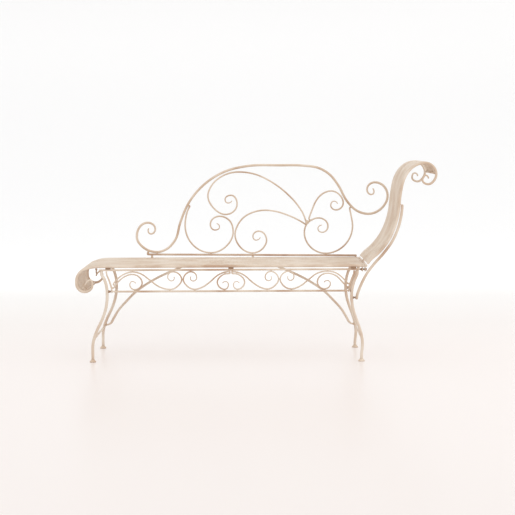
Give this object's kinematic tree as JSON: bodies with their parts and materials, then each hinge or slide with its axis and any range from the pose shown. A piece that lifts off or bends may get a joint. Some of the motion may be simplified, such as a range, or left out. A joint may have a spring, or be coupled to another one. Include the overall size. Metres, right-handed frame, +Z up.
{
  "type": "daybed",
  "caption": "Scrolled metal daybed: slatted seat rolled down at the foot, curled slatted headrest, low scrollwork back on the rear rail, bowed legs, scroll apron and rear knee braces.",
  "frame": {"origin": "on the floor, at the middle of the daybed's length and depth over its feet", "axes": "+X along the length, from the rolled foot towards the curled headrest; +Y from the open front towards the scrolled back; +Z up"},
  "size_m": [1.6729, 0.53, 0.922],
  "materials": {
    "frame_paint": "satin antique cream paint rubbed through to brown along its edges",
    "slat_paint": "matt antique cream paint with faint brown wear",
    "leg_paint": "satin antique cream paint, browner towards the feet",
    "dark_fastener": "darkened, slightly rusted steel",
    "worn_foot": "worn cream paint showing brown metal"
  },
  "bodies": {
    "root": {"apron_bolt_left": "dark_fastener", "apron_bolt_right": "dark_fastener", "apron_centre_c_left": "frame_paint", "apron_centre_c_right": "frame_paint", "apron_end_bar_left": "frame_paint", "apron_end_bar_right": "frame_paint", "apron_inner_s_left": "frame_paint", "apron_inner_s_right": "frame_paint", "apron_lower_rail": "frame_paint", "apron_outer_c_left": "frame_paint", "apron_outer_c_right": "frame_paint", "apron_outer_s_left": "frame_paint", "apron_outer_s_right": "frame_paint", "apron_spacer_left": "dark_fastener", "apron_spacer_middle": "dark_fastener", "apron_spacer_right": "dark_fastener", "apron_top_rail": "frame_paint", "back_base_rail": "frame_paint", "back_foot_scroll": "frame_paint", "back_head_scroll": "frame_paint", "back_high_scroll": "frame_paint", "back_hoop": "frame_paint", "back_low_scroll": "frame_paint", "back_rosette": "frame_paint", "back_stub_foot": "frame_paint", "back_stub_middle": "frame_paint", "back_top_scroll": "frame_paint", "foot_back_left": "worn_foot", "foot_back_right": "worn_foot", "foot_end_bolt_back": "dark_fastener", "foot_end_bolt_front": "dark_fastener", "foot_front_left": "worn_foot", "foot_front_right": "worn_foot", "headrest_joint_bar": "frame_paint", "headrest_rail_back": "frame_paint", "headrest_rail_front": "frame_paint", "headrest_roll_bar": "frame_paint", "headrest_slat_panel": "slat_paint", "headrest_support_back": "frame_paint", "headrest_support_front": "frame_paint", "joint_bolt_back": "dark_fastener", "joint_bolt_front": "dark_fastener", "knee_brace_left": "leg_paint", "knee_brace_right": "leg_paint", "leg_back_left": "leg_paint", "leg_back_right": "leg_paint", "leg_front_left": "leg_paint", "leg_front_right": "leg_paint", "leg_stretcher_left": "leg_paint", "leg_stretcher_right": "leg_paint", "rear_leg_plate_left": "leg_paint", "rear_leg_plate_right": "leg_paint", "seat_joint_bar": "frame_paint", "seat_rail_back": "frame_paint", "seat_rail_front": "frame_paint", "seat_roll_bar": "frame_paint", "seat_slat_panel": "slat_paint", "support_spacer_back": "dark_fastener", "support_spacer_front": "dark_fastener"}
  },
  "joints": []
}
